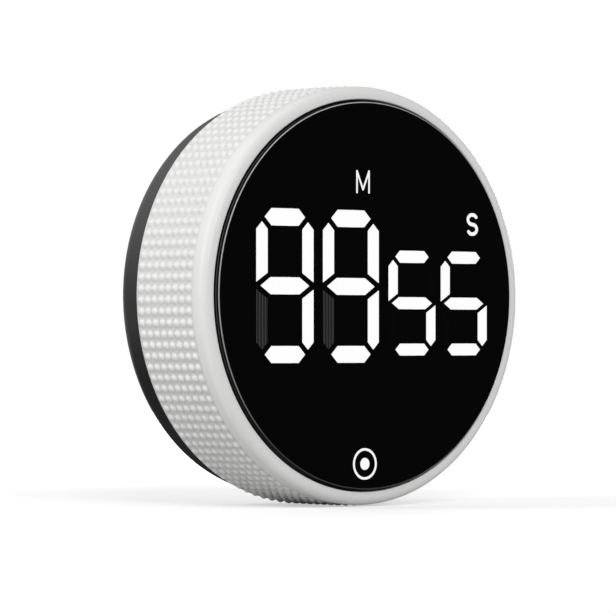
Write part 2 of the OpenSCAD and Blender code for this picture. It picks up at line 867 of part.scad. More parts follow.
// Lens: a black disc with a window for each segment and shallow pockets for the marks
module front_lens() {
    color(dark) stand() difference() {
        union() {
            rod(lens_r, lens_rear, lens_front - lens_chamfer);
            at(lens_front - lens_chamfer) cylinder(r1 = lens_r, r2 = lens_r - lens_chamfer, h = lens_chamfer);
        }
        through(lens_rear, lens_front) all_segments(0);
        at(lens_front - mark_depth) linear_extrude(mark_depth + past) {
            letters(0);
            start_sign(0);
        }
    }
}

// Rectangle given by its low and high corners
module sheet(low, high) {
    translate(low) square(high - low);
}

// Outline of the light wells behind the digits, grown by a margin
module well_outline(margin) {
    grow = [margin, margin];
    minute_half = [minute_step + minute_style[0] / 2, minute_style[1] / 2];
    second_half = [second_step + second_style[0] / 2, second_style[1] / 2];
    intersection() {
        union() {
            sheet(minute_at - minute_half - grow, minute_at + minute_half + grow);
            sheet([minute_at[0], second_at[1] - second_half[1] - margin], second_at + second_half + grow);
        }
        circle(well_r + margin);
    }
}

module display_reflector() {
    color([0.9, 0.9, 0.88]) stand() difference() {
        at(board_front) linear_extrude(reflector_front - board_front) well_outline(well_wall);
        through(board_front, reflector_front) all_segments(-well_gap);
    }
}

// Middle of each segment, where its light sits
function segment_middle(style, name) =
    let (x = style[0] / 2 - style[3] / 2)
    let (y = style[1] / 4 - style[2] / 4)
    let (bar = style[1] / 2 - style[2] / 2)
    name == "a" ? [0, bar, 0] : name == "d" ? [0, -bar, 0] : name == "g" ? [0, 0, 0] :
    name == "b" ? [x, y, 90] : name == "c" ? [x, -y, 90] : name == "e" ? [-x, -y, 90] : [-x, y, 90];

module segment_lights(style, xs, y) {
    for (x = xs, name = segment_names) {
        place = segment_middle(style, name);
        translate([x + place[0], y + place[1], board_front]) rotate(place[2]) pad(led_size / 2, 0, led_h);
    }
}

module segment_leds() {
    color([0.95, 0.9, 0.6]) stand() {
        segment_lights(minute_style, minute_x, minute_at[1]);
        segment_lights(second_style, second_x, second_at[1]);
    }
}

// Carrier behind the lens: hinge ears at the top and a post over the switch at the bottom
module panel_carrier() {
    color(dark) stand() {
        difference() {
            rod(carrier_r, carrier_rear, lens_rear);
            through(carrier_rear, lens_rear) well_outline(well_wall + reflector_gap);
        }
        translate([0, switch_y, 0]) rod(post_r, post_end, carrier_rear + 0.2);
        for (side = [0, 1]) mirror([side, 0, 0]) translate([0, hinge_y, hinge_z]) {
            cross_rod(ear_r, ear_x[0], ear_x[1]);
            cross_rod(hinge_pin_r, ear_x[1] - 0.2, lug_x[1] + slide_gap);
            block([ear_x[0], -ear_r, 0], [ear_x[1], ear_r, carrier_rear - hinge_z + 0.2]);
        }
    }
}

module tact_switch() {
    color([0.2, 0.2, 0.22]) stand() translate([0, switch_y, 0]) difference() {
        pad([tact_side, tact_side] / 2, board_front, tact_top);
        rod(plunger_r + 0.15, plunger_seat - plunger_room, tact_top + past);
    }
}

module tact_plunger() {
    color([0.5, 0.1, 0.08]) stand() translate([0, switch_y, 0]) rod(plunger_r, plunger_seat, plunger_top);
}

module encoder_body() {
    color([0.15, 0.2, 0.3]) stand() translate([encoder_x, 0, 0]) difference() {
        rod(encoder_r, encoder_rear, board_rear);
        rod(shaft_r + 0.15, encoder_rear - past, encoder_bore_end);
    }
}

module encoder_pinion() {
    color([0.9, 0.88, 0.8]) stand() translate([encoder_x, 0, 0]) {
        at(ring_rear) linear_extrude(flange_t)
            polygon(wheel_outline(pinion_teeth, pinion_pitch_r, pinion_root_r, pinion_tip_r, -backlash));
        rod(shaft_r, ring_rear, encoder_bore_end - slide_gap);
    }
}

module slide_switch() {
    color([0.55, 0.56, 0.58]) stand() translate([0, volume_y, 0]) difference() {
        pad(switch_size / 2, switch_rear, board_rear);
        pad([slot_x, slot_y], switch_rear - past, knob_top + slide_gap);
    }
}

// Volume knob: stem through the slot in the shell, with a shield that covers the slot from inside
module volume_knob() {
    color([0.3, 0.3, 0.31]) stand() translate([0, volume_y, 0]) {
        pad([knob_w, knob_h] / 2, knob_sink, knob_top);
        at(floor_t + slide_gap) pad([shield_x, shield_y], 0, shield_t);
    }
}

back_shell();
battery_door();
cell_left();
cell_middle();
cell_right();
contact_springs();
contact_plates();
magnets();
case_screws();
chassis();
main_board();
board_screws();
controller_chip();
small_components();
buzzer();
segment_leds();
display_reflector();
tact_switch();
tact_plunger();
encoder_body();
encoder_pinion();
slide_switch();
volume_knob();
dial_ring();
panel_carrier();
front_lens();
minute_segments_lit();
minute_segments_dark();
second_segments_lit();
second_segments_dark();
unit_letters();
start_mark();
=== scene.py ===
import json
import math

import bmesh
import bpy
from mathutils import Matrix, Vector


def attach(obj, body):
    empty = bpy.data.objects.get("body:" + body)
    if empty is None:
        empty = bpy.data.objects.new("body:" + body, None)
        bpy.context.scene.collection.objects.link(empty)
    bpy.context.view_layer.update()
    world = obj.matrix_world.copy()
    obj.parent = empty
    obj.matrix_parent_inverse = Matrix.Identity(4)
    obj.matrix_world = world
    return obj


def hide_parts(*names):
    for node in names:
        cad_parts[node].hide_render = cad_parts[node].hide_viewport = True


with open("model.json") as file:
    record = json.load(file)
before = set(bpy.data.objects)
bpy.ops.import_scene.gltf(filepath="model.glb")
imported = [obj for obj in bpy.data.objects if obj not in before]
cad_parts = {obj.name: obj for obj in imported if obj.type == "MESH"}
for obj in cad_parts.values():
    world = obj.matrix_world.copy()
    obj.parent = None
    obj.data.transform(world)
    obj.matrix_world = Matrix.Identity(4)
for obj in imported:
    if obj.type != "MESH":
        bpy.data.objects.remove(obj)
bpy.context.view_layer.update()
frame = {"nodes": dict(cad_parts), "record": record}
nodes = frame["nodes"]
scene = bpy.context.scene
mm = 0.001
middle = Vector((0, -14, 0)) * mm  # half way through the timer's depth, on its axis
noiseRange = {"From Min": 0.3, "From Max": 0.7}  # where most values of a noise texture lie
print("frame loaded, nodes:", len(nodes))


def linear(hexCode):
    channels = [int(hexCode[i:i + 2], 16) / 255 for i in (1, 3, 5)]
    return [c / 12.92 if c <= 0.04045 else ((c + 0.055) / 1.055) ** 2.4 for c in channels] + [1.0]


def addNode(tree, kind, values=None, links=None, **settings):
    node = tree.nodes.new(kind)
    for key, value in settings.items():
        setattr(node, key, value)
    for key, value in (values or {}).items():
        node.inputs[key].default_value = value
    for key, source in (links or {}).items():
        tree.links.new(source, node.inputs[key])
    return node


def newMaterial(name):
    material = bpy.data.materials.new(name)
    material.use_nodes = True
    tree = material.node_tree
    tree.nodes.clear()
    place = addNode(tree, "ShaderNodeTexCoord").outputs["Object"]
    return material, tree, place


def finishMaterial(tree, values, links):
    surface = addNode(tree, "ShaderNodeBsdfPrincipled", values, links)
    addNode(tree, "ShaderNodeOutputMaterial", links={"Surface": surface.outputs["BSDF"]})


def perMetre(sizeMm):
    # texture scale that gives features of this size
    return 1 / (sizeMm * mm)


def mouldedPlastic(name, look):
    # injection-moulded ABS: even colour, a spark-eroded grain that breaks up the sheen
    material, tree, place = newMaterial(name)
    cloud = addNode(tree, "ShaderNodeTexNoise", {"Scale": perMetre(look["cloudMm"]), "Detail": 3.0},
                    {"Vector": place})
    grain = addNode(tree, "ShaderNodeTexNoise", {"Scale": perMetre(look["grainMm"]), "Detail": 2.0},
                    {"Vector": place})
    colour = addNode(tree, "ShaderNodeMix", {"A": linear(look["low"]), "B": linear(look["high"])},
                     {"Factor": cloud.outputs["Fac"]}, data_type="RGBA")
    rough = addNode(tree, "ShaderNodeMapRange",
                    {**noiseRange, "To Min": look["rough"] - look["roughSpread"],
                     "To Max": look["rough"] + look["roughSpread"]}, {"Value": grain.outputs["Fac"]})
    bump = addNode(tree, "ShaderNodeBump", {"Strength": look["bump"], "Distance": look["bumpMm"] * mm},
                   {"Height": grain.outputs["Fac"]})
    finishMaterial(tree, {"IOR": 1.5, "Specular IOR Level": look["specular"]},
                   {"Base Color": colour.outputs["Result"], "Roughness": rough.outputs["Result"],
                    "Normal": bump.outputs["Normal"]})
    return material


def dress(material, *names):
    for name in names:
        slots = nodes[name].data.materials
        slots.clear()
        slots.append(material)


def addPiece(name, bm, material, body, slot, *replaced):
    mesh = bpy.data.meshes.new(name)
    bm.to_mesh(mesh)
    bm.free()
    mesh.materials.append(material)
    piece = bpy.data.objects.new(name, mesh)
    scene.collection.objects.link(piece)
    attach(piece, body)
    if replaced:
        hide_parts(*replaced)
    return piece


def softenedCopy(node, width):
    # merged copy of a CAD solid whose outward edges are eased, as moulds and dies leave them
    limits = {"weldMm": 0.0005, "flatDeg": 0.5, "edgeDeg": 40, "smoothDeg": 28, "wideMm2": 16}
    flat, sharp, gentle = (math.radians(limits[key]) for key in ("flatDeg", "edgeDeg", "smoothDeg"))
    bm = bmesh.new()
    bm.from_mesh(nodes[node].data)
    bm.transform(nodes[node].matrix_world)
    bmesh.ops.remove_doubles(bm, verts=bm.verts[:], dist=limits["weldMm"] * mm)
    bmesh.ops.dissolve_limit(bm, angle_limit=flat, verts=bm.verts[:], edges=bm.edges[:])
    outward = [e for e in bm.edges if e.is_manifold and e.calc_face_angle_signed(0) > sharp]
    bmesh.ops.bevel(bm, geom=outward, offset=width * mm, offset_type="OFFSET", affect="EDGES", segments=2,
                    profile=0.5, material=-1, clamp_overlap=True)
    bmesh.ops.recalc_face_normals(bm, faces=bm.faces[:])
    wide = {f for f in bm.faces if f.calc_area() > limits["wideMm2"] * mm * mm}
    for face in bm.faces:
        face.smooth = True
    for edge in bm.edges:
        rounded = edge.is_manifold and edge.calc_face_angle(0) < gentle
        edge.smooth = rounded and not wide.intersection(edge.link_faces)
    return bm


# white dial ring: one narrow slice of turned body and domed grip, repeated round the axis
ring = {
    "gripR": 38.48, "tipR": 38.998, "rearR": 38.58, "rimR": 38.75, "boreR": 36.3, "flangeR": 34.6,
    "rearZ": 7.55, "flangeZ": 9.55, "lipZ": 27.35, "gripLow": 7.9, "gripHigh": 23.7,
    "rows": 8, "count": 116, "cellCuts": 8, "domeShare": (0.4, 0.48), "domePower": 1.2,
    "rimFillet": 1.6, "lipRound": 0.3, "rearRound": 0.3, "blendLength": 1.25,
    "filletSteps": 12, "roundSteps": 5, "weld": 0.002,
    "teeth": 84, "toothR": (34.8, 33.6, 33.1), "toothHalfDeg": (1.68, 0.918, 0.627), "toothInset": 0.01,
}


def onRing(r, turn, z):
    # turn is measured from +X towards +Z, z forward from the back face
    return Vector((r * math.cos(turn), -z, r * math.sin(turn))) * mm


def arcPoints(r, z, radius, start, end, steps):
    angles = [math.radians(start + (end - start) * i / steps) for i in range(steps + 1)]
    return [(r + radius * math.cos(a), z + radius * math.sin(a)) for a in angles]


def ringProfile(p):
    # from the front edge of the grip over the rim, down the bore, round the flange and back to the grip
    points = [(p["gripR"], p["gripHigh"])]
    rise, steps = p["rimR"] - p["gripR"], p["roundSteps"]
    for i in range(1, steps + 1):
        share = (1 - math.cos(math.pi * i / steps)) / 2
        points.append((p["gripR"] + rise * share, p["gripHigh"] + rise * p["blendLength"] * i / steps))
    fillet, lip, rear = p["rimFillet"], p["lipRound"], p["rearRound"]
    points += arcPoints(p["rimR"] - fillet, p["lipZ"] - fillet, fillet, 0, 90, p["filletSteps"])
    points += arcPoints(p["boreR"] + lip, p["lipZ"] - lip, lip, 90, 180, steps)
    points += [(p["boreR"], p["flangeZ"]), (p["flangeR"], p["flangeZ"]), (p["flangeR"], p["rearZ"])]
    points += arcPoints(p["rearR"] - rear, p["rearZ"] + rear, rear, -90, 0, steps)
    points += [(p["gripR"], p["gripLow"])]
    return points


def newVerts(made):
    return [g for g in made["geom"] if isinstance(g, bmesh.types.BMVert)]


def everything(bm):
    return bm.verts[:] + bm.edges[:] + bm.faces[:]


def joinInto(bm, part):
    mesh = bpy.data.meshes.new("joined")
    part.to_mesh(mesh)
    part.free()
    bm.from_mesh(mesh)
    bpy.data.meshes.remove(mesh)


def makeRing(p):
    bm = bmesh.new()
    sliceTurn = math.tau / p["count"]
    rowStep = (p["gripHigh"] - p["gripLow"]) / p["rows"]
    # one domed cell of the grip, bent round the ring
    cuts = p["cellCuts"]
    for v in bmesh.ops.create_grid(bm, x_segments=cuts, y_segments=cuts, size=0.5)["verts"]:
        across, along = v.co.x, v.co.y
        reach = min(1, math.hypot(across / p["domeShare"][0], along / p["domeShare"][1]))
        lift = (p["tipR"] - p["gripR"]) * (1 - reach ** 2) ** p["domePower"]
        v.co = onRing(p["gripR"] + lift, (across + 0.5) * sliceTurn, p["gripLow"] + (along + 0.5) * rowStep)
    firstCell = everything(bm)
    for row in range(1, p["rows"]):
        copied = bmesh.ops.duplicate(bm, geom=firstCell)
        bmesh.ops.translate(bm, vec=(0, -row * rowStep * mm, 0), verts=newVerts(copied))
    # the same slice of the turned body meets the grip at its two edges
    line = [bm.verts.new(onRing(r, 0, z)) for r, z in ringProfile(p)]
    edges = [bm.edges.new(pair) for pair in zip(line, line[1:])]
    bmesh.ops.spin(bm, geom=line + edges, axis=(0, -1, 0), angle=sliceTurn, steps=cuts)
    bmesh.ops.spin(bm, geom=everything(bm), axis=(0, -1, 0), use_duplicate=True,
                   angle=sliceTurn * (p["count"] - 1), steps=p["count"] - 1)
    bmesh.ops.remove_doubles(bm, verts=bm.verts[:], dist=p["weld"] * mm)
    bmesh.ops.recalc_face_normals(bm, faces=bm.faces[:])
    for face in bm.faces:
        face.smooth = True
    return bm


def addTeeth(bm, p):
    # inner drive teeth that turn the encoder pinion
    gear = bmesh.new()
    half = math.pi / p["teeth"]
    flank = list(zip(p["toothR"], [math.radians(h) for h in p["toothHalfDeg"]]))
    outline = [(r, half - h) for r, h in flank] + [(r, half + h) for r, h in reversed(flank)]
    rear, front = p["rearZ"] + p["toothInset"], p["flangeZ"] - p["toothInset"]
    face = gear.faces.new([gear.verts.new(onRing(r, turn, rear)) for r, turn in outline])
    grown = bmesh.ops.extrude_face_region(gear, geom=[face])
    bmesh.ops.translate(gear, vec=(0, (rear - front) * mm, 0), verts=newVerts(grown))
    bmesh.ops.recalc_face_normals(gear, faces=gear.faces[:])
    bmesh.ops.spin(gear, geom=everything(gear), axis=(0, -1, 0), use_duplicate=True,
                   angle=2 * half * (p["teeth"] - 1), steps=p["teeth"] - 1)
    joinInto(bm, gear)
    return bm


def whiteRingMaterial():
    # moulded white ABS: bright, softly satin, with painted shade greying the floor between the grip domes
    look = {"tip": "#f0f0ef", "floor": "#e0e0df", "cloudMm": 14.0, "grainMm": 0.22, "rough": 0.42,
            "roughSpread": 0.06, "cloudShade": (0.975, 1.0), "bump": 0.12, "bumpMm": 0.02,
            "valleyShadeRise": 0.25, "valleyShadeEdge": (1.0, -0.4)}
    material, tree, place = newMaterial("whiteAbsMoulded")
    flat = addNode(tree, "ShaderNodeVectorMath", {1: (1, 0, 1)}, {0: place}, operation="MULTIPLY")
    radius = addNode(tree, "ShaderNodeVectorMath", links={0: flat.outputs["Vector"]}, operation="LENGTH")
    height = addNode(tree, "ShaderNodeMapRange",
                     {"From Min": ring["gripR"] * mm, "From Max": (ring["gripR"] + look["valleyShadeRise"]) * mm},
                     {"Value": radius.outputs["Value"]}, interpolation_type="SMOOTHSTEP")
    axial = addNode(tree, "ShaderNodeSeparateXYZ", links={"Vector": place})
    start, end = (-(ring["gripHigh"] + past) * mm for past in look["valleyShadeEdge"])
    inGrip = addNode(tree, "ShaderNodeMapRange", {"From Min": start, "From Max": end},
                     {"Value": axial.outputs["Y"]})
    # painted shade: the grip floor between the domes takes the greyer floor tone, as shade falls there
    onFloor = addNode(tree, "ShaderNodeMath", {0: 1.0}, {1: height.outputs["Result"]}, operation="SUBTRACT")
    valleyShade = addNode(tree, "ShaderNodeMath", links={0: onFloor.outputs["Value"], 1: inGrip.outputs["Result"]},
                   operation="MULTIPLY")
    cloud = addNode(tree, "ShaderNodeTexNoise", {"Scale": perMetre(look["cloudMm"]), "Detail": 3.0},
                    {"Vector": place})
    # grit of about 0.05 mm, drawn at 0.22 mm so that it shows
    grain = addNode(tree, "ShaderNodeTexNoise", {"Scale": perMetre(look["grainMm"]), "Detail": 2.0},
                    {"Vector": place})
    valleyShadedTone = addNode(tree, "ShaderNodeMix", {"A": linear(look["tip"]), "B": linear(look["floor"])},
                     {"Factor": valleyShade.outputs["Value"]}, data_type="RGBA")
    shade = addNode(tree, "ShaderNodeMapRange",
                    {**noiseRange, "To Min": look["cloudShade"][0], "To Max": look["cloudShade"][1]},
                    {"Value": cloud.outputs["Fac"]})
    colour = addNode(tree, "ShaderNodeVectorMath",
                     links={0: valleyShadedTone.outputs["Result"], "Scale": shade.outputs["Result"]}, operation="SCALE")
    rough = addNode(tree, "ShaderNodeMapRange",
                    {**noiseRange, "To Min": look["rough"] - look["roughSpread"],
                     "To Max": look["rough"] + look["roughSpread"]}, {"Value": grain.outputs["Fac"]})
    bump = addNode(tree, "ShaderNodeBump", {"Strength": look["bump"], "Distance": look["bumpMm"] * mm},
                   {"Height": grain.outputs["Fac"]})
    finishMaterial(tree, {"IOR": 1.52, "Specular IOR Level": 0.4},
                   {"Base Color": colour.outputs["Vector"], "Roughness": rough.outputs["Result"],
                    "Normal": bump.outputs["Normal"]})
    return material


ringPiece = addPiece("grip_ring", addTeeth(makeRing(ring), ring), whiteRingMaterial(),
                     "dial", "white_ring", "dial_ring")
print("dial ring built, faces:", len(ringPiece.data.polygons))

fineGrain = {"cloudMm": 3.0, "grainMm": 0.2, "rough": 0.5, "roughSpread": 0.06, "bump": 0.12, "bumpMm": 0.02,
             "specular": 0.5}
plastics = {
    # satin black: dark and even, with a soft broad sheen
    "blackAbsSatin": ({"low": "#181819", "high": "#1e1e1f", "cloudMm": 9.0, "grainMm": 0.25, "rough": 0.4,
                       "bump": 0.18, "specular": 0.25}, ("back_shell", "battery_door")),
    # dull black of inner mouldings
    "blackAbsInner": ({"low": "#151516", "high": "#1c1c1d", "cloudMm": 8.0, "grainMm": 0.3, "rough": 0.55,
                       "bump": 0.15}, ("chassis", "panel_carrier")),
    # mid grey, so that the knob shows in its slot
    "greyAbsKnob": ({"low": "#4a4a4b", "high": "#565657", "bump": 0.2}, ("volume_knob",)),
    # moulded epoxy, dull and nearly black
    "epoxyBlack": ({"low": "#171718", "high": "#1d1d1e"}, ("controller_chip", "buzzer")),
    # fired ceramic, tan and mottled
    "ceramicTan": ({"low": "#8f6f49", "high": "#a58458", "cloudMm": 1.5}, ("small_components",)),
    # cast resin, yellow and fairly glossy
    "ledResinYellow": ({"low": "#dcc76a", "high": "#e6d690", "rough": 0.25}, ("segment_leds",)),
    # matt white that spreads the light in the wells
    "whiteAbsReflector": ({"low": "#e6e6e3", "high": "#efefec"}, ("display_reflector",)),
    # filled nylon, plain grey
    "greyNylonSwitch": ({"low": "#434446", "high": "#4c4d4f"}, ("tact_switch", "encoder_body")),
    # dyed nylon, deep red
    "redNylonPlunger": ({"low": "#8c2420", "high": "#9c2c26"}, ("tact_plunger",)),
    # natural acetal, creamy and slightly waxy
    "acetalNatural": ({"low": "#e4e0d2", "high": "#ece9dd", "rough": 0.38}, ("encoder_pinion",)),
}
for name, (look, parts) in plastics.items():
    dress(mouldedPlastic(name, {**fineGrain, **look}), *parts)
print("plastics dressed:", len(plastics))


def platedMetal(name, look):
    # bright plated metal: drawn or stamped, so its sheen runs in fine streaks with a few dull patches
    sheen = {"smoother": 0.06, "duller": 0.08, "bump": 0.1, "bumpMm": 0.01}
    material, tree, place = newMaterial(name)
    stretch = addNode(tree, "ShaderNodeMapping", {"Scale": look["streak"]}, {"Vector": place})
    streaks = addNode(tree, "ShaderNodeTexNoise", {"Scale": perMetre(look["streakMm"]), "Detail": 3.0},
                      {"Vector": stretch.outputs["Vector"]})
    patches = addNode(tree, "ShaderNodeTexNoise", {"Scale": perMetre(look["patchMm"]), "Detail": 2.0},
                      {"Vector": place})
    colour = addNode(tree, "ShaderNodeMix", {"A": linear(look["low"]), "B": linear(look["high"])},
                     {"Factor": patches.outputs["Fac"]}, data_type="RGBA")
    rough = addNode(tree, "ShaderNodeMapRange",
                    {**noiseRange, "To Min": look["rough"] - sheen["smoother"],
                     "To Max": look["rough"] + sheen["duller"]}, {"Value": streaks.outputs["Fac"]})
    bump = addNode(tree, "ShaderNodeBump", {"Strength": sheen["bump"], "Distance": sheen["bumpMm"] * mm},
                   {"Height": streaks.outputs["Fac"]})
    finishMaterial(tree, {"Metallic": 1.0},
                   {"Base Color": colour.outputs["Result"], "Roughness": rough.outputs["Result"],
                    "Normal": bump.outputs["Normal"]})
    return material


def cellMaterial(name, cell):
    # AAA cell: a glossy printed sleeve with a pale band at the plus end, bare nickel on both ends
    look = {"sleeve": ("#2b3d4c", "#30445a"), "cloudMm": 9.0, "rough": (0.2, 0.27), "metal": "#c9c8c2",
            "sleeveR": 4.85, "depth": 7.95, "reach": 24.6, "band": "#c3c8cc", "bandMm": 11.0,
            "line": "#8fa3b3", "lineAt": 12.6, "lineHalf": 0.7,
            "mark": "#3a444c", "markAt": 6.0, "markHalf": (0.4, 1.7)}
    material, tree, place = newMaterial(name)
    shift = addNode(tree, "ShaderNodeVectorMath", {1: (-cell["x"] * mm, look["depth"] * mm, 0)}, {0: place},
                    operation="ADD")
    axes = addNode(tree, "ShaderNodeSeparateXYZ", links={"Vector": shift.outputs["Vector"]})
    flat = addNode(tree, "ShaderNodeVectorMath", {1: (1, 1, 0)}, {0: shift.outputs["Vector"]},
                   operation="MULTIPLY")
    radius = addNode(tree, "ShaderNodeVectorMath", links={0: flat.outputs["Vector"]}, operation="LENGTH")
    # distance in mm from the plus end's wall of the bay
    along = addNode(tree, "ShaderNodeMath", {1: -cell["plus"] / mm, 2: look["reach"]}, {0: axes.outputs["Z"]},
                    operation="MULTIPLY_ADD")
    inBand = addNode(tree, "ShaderNodeMath", {1: look["bandMm"]}, {0: along.outputs["Value"]},
                     operation="LESS_THAN")
    inLine = addNode(tree, "ShaderNodeMath", {1: look["lineAt"], 2: look["lineHalf"]},
                     {0: along.outputs["Value"]}, operation="COMPARE")
    bare = addNode(tree, "ShaderNodeMath", {1: look["sleeveR"] * mm}, {0: radius.outputs["Value"]},
                   operation="LESS_THAN")
    # a printed plus sign of two crossed bars on the band
    bars = []
    for wide, tall in (look["markHalf"], look["markHalf"][::-1]):
        inWide = addNode(tree, "ShaderNodeMath", {1: 0.0, 2: wide * mm}, {0: axes.outputs["X"]},
                         operation="COMPARE")
        inTall = addNode(tree, "ShaderNodeMath", {1: look["markAt"], 2: tall}, {0: along.outputs["Value"]},
                         operation="COMPARE")
        bars.append(addNode(tree, "ShaderNodeMath",
                            links={0: inWide.outputs["Value"], 1: inTall.outputs["Value"]},
                            operation="MULTIPLY"))
    mark = addNode(tree, "ShaderNodeMath", links={0: bars[0].outputs["Value"], 1: bars[1].outputs["Value"]},
                   operation="MAXIMUM")
    cloud = addNode(tree, "ShaderNodeTexNoise", {"Scale": perMetre(look["cloudMm"]), "Detail": 2.0},
                    {"Vector": place})
    sleeve = addNode(tree, "ShaderNodeMix", {"A": linear(look["sleeve"][0]), "B": linear(look["sleeve"][1])},
                     {"Factor": cloud.outputs["Fac"]}, data_type="RGBA")
    lined = addNode(tree, "ShaderNodeMix", {"B": linear(look["line"])},
                    {"Factor": inLine.outputs["Value"], "A": sleeve.outputs["Result"]}, data_type="RGBA")
    banded = addNode(tree, "ShaderNodeMix", {"B": linear(look["band"])},
                     {"Factor": inBand.outputs["Value"], "A": lined.outputs["Result"]}, data_type="RGBA")
    marked = addNode(tree, "ShaderNodeMix", {"B": linear(look["mark"])},
                     {"Factor": mark.outputs["Value"], "A": banded.outputs["Result"]}, data_type="RGBA")
    colour = addNode(tree, "ShaderNodeMix", {"B": linear(look["metal"])},
                     {"Factor": bare.outputs["Value"], "A": marked.outputs["Result"]}, data_type="RGBA")
    rough = addNode(tree, "ShaderNodeMapRange",
                    {**noiseRange, "To Min": look["rough"][0], "To Max": look["rough"][1]},
                    {"Value": cloud.outputs["Fac"]})
    finishMaterial(tree, {"IOR": 1.5},
                   {"Base Color": colour.outputs["Result"], "Roughness": rough.outputs["Result"],
                    "Metallic": bare.outputs["Value"]})
    return material


def boardMaterial():
    # glass-fibre board: green solder mask over copper tracks that show a shade lighter
    look = {"mask": ("#0d4a2b", "#0f5230"), "track": "#1c6a41", "trackMm": 2.4, "lineShare": 0.12,
            "padWidth": 1.6, "padHeight": 0.6, "rough": 0.32, "bump": 0.3, "bumpMm": 0.03}
    material, tree, place = newMaterial("solderMaskGreen")
    turned = addNode(tree, "ShaderNodeMapping", {"Rotation": (math.radians(90), 0, 0)}, {"Vector": place})
    tracks = addNode(tree, "ShaderNodeTexBrick",
                     {"Scale": perMetre(look["trackMm"]), "Mortar Size": look["lineShare"],
                      "Brick Width": look["padWidth"], "Row Height": look["padHeight"],
                      "Color1": linear(look["mask"][0]), "Color2": linear(look["mask"][1]),
                      "Mortar": linear(look["track"])}, {"Vector": turned.outputs["Vector"]})
    bump = addNode(tree, "ShaderNodeBump", {"Strength": look["bump"], "Distance": look["bumpMm"] * mm},
                   {"Height": tracks.outputs["Fac"]})
    finishMaterial(tree, {"IOR": 1.55, "Roughness": look["rough"]},
                   {"Base Color": tracks.outputs["Color"], "Normal": bump.outputs["Normal"]})
    return material


even = (1, 1, 1)
metals = {
    # drawn spring wire, bright with fine specks
    "springSteelPlated": ({"low": "#b4b4b6", "high": "#c6c6c8", "streak": even, "streakMm": 0.25,
                           "patchMm": 2.5, "rough": 0.28}, ("contact_springs",)),
    # rolled strip, warm white with streaks along it
    "nickelStrip": ({"low": "#c4c2ba", "high": "#d2d0c8", "streak": (6, 1, 1), "streakMm": 0.8,
                     "patchMm": 3.0, "rough": 0.24}, ("contact_plates",)),
    # barrel-plated discs, nearly a mirror
    "nickelMagnet": ({"low": "#a9a9ad", "high": "#b8b8bc", "streak": even, "streakMm": 1.5,
                      "patchMm": 6.0, "rough": 0.14}, ("magnets",)),
    # zinc over steel, a little greyer
    "zincScrew": ({"low": "#98989b", "high": "#acacaf", "streak": even, "streakMm": 1.4,
                   "patchMm": 3.0, "rough": 0.24}, ("case_screws", "board_screws")),
    # stamped tin plate, dull with upright streaks
    "tinPlateFrame": ({"low": "#b0b0b0", "high": "#bebebe", "streak": (1, 1, 5), "streakMm": 0.6,
                       "patchMm": 2.0, "rough": 0.32}, ("slide_switch",)),
}
for name, (look, parts) in metals.items():
    dress(platedMetal(name, look), *parts)
# plus is 1 where the plus end is up
cells = {"left": {"x": -11.0, "plus": 1}, "middle": {"x": 0.0, "plus": -1}, "right": {"x": 11.0, "plus": 1}}
for side, cell in cells.items():
    dress(cellMaterial("cellSleeve" + side.title(), cell), "cell_" + side)
dress(boardMaterial(), "main_board")
print("metals, cells and board dressed")

# eased copies of the solids whose edges are seen from outside or through the open door, width in mm
easedEdges = {
    "battery_door": 0.15, "volume_knob": 0.2, "magnets": 0.2, "case_screws": 0.1,
    "cell_left": 0.35, "cell_middle": 0.35, "cell_right": 0.35,
}
bodyOf = {node: body for body, members in frame["record"]["behaviour"]["bodies"].items() for node in members}
slotOf = {part["node"]: part["material_slot"] for part in frame["record"]["subparts"]}
for node, width in easedEdges.items():
    eased = addPiece(node + "_eased", softenedCopy(node, width), nodes[node].data.materials[0],
                     bodyOf[node], slotOf[node], node)
    print("eased", node, len(eased.data.polygons))

# contact springs: tapered coils of round wire between the end plates and the cells
spring = {
    "baseR": 3.4, "tipR": 2.2, "wireR": 0.3, "turns": 3.5, "start": 0.35, "run": 3.9,
    "sides": 10, "stepsPerTurn": 28,
    "depth": 7.95, "reach": 24.6, "places": ((-11.0, -1), (0.0, 1), (11.0, -1)),
}


def makeSprings(p):
    bm = bmesh.new()
    for across, way in p["places"]:
        coil = bmesh.new()
        bmesh.ops.create_circle(coil, radius=p["wireR"] * mm, segments=p["sides"],
                                matrix=Matrix.Rotation(math.pi / 2, 4, "X"))
        bmesh.ops.translate(coil, vec=(p["baseR"] * mm, 0, p["start"] * mm), verts=coil.verts[:])
        steps = round(p["turns"] * p["stepsPerTurn"])
        bmesh.ops.spin(coil, geom=coil.verts[:] + coil.edges[:], axis=(0, 0, 1),
                       dvec=(0, 0, p["run"] * mm / steps), angle=math.tau * p["turns"], steps=steps)
        bmesh.ops.holes_fill(coil, edges=coil.edges[:])
        for v in coil.verts:
            shrink = (p["baseR"] - p["tipR"]) * (v.co.z / mm - p["start"]) / p["run"] * mm
            v.co.xy -= v.co.xy.normalized() * shrink
        # wide end on the contact plate of the lower or upper wall, small end towards the cell
        turn = Matrix.Identity(4) if way < 0 else Matrix.Rotation(math.pi, 4, "X")
        coil.transform(Matrix.Translation(Vector((across, -p["depth"], way * p["reach"])) * mm) @ turn)
        bmesh.ops.recalc_face_normals(coil, faces=coil.faces[:])
        for face in coil.faces:
            face.smooth = len(face.verts) == 4
        joinInto(bm, coil)
    return bm


springPiece = addPiece("contact_coils", makeSprings(spring), nodes["contact_springs"].data.materials[0],
                       "case", "spring_steel", "contact_springs")
print("springs wound, faces:", len(springPiece.data.polygons))


def bandMask(tree, value, edges):
    # 1 between the middle two edges, fading to 0 at the outer two, all in mm
    rising = addNode(tree, "ShaderNodeMapRange", {"From Min": edges[0] * mm, "From Max": edges[1] * mm},
                     {"Value": value})
    falling = addNode(tree, "ShaderNodeMapRange", {"From Min": edges[3] * mm, "From Max": edges[2] * mm},
                      {"Value": value})
    return addNode(tree, "ShaderNodeMath", links={0: rising.outputs["Result"], 1: falling.outputs["Result"]},
                   operation="MULTIPLY")


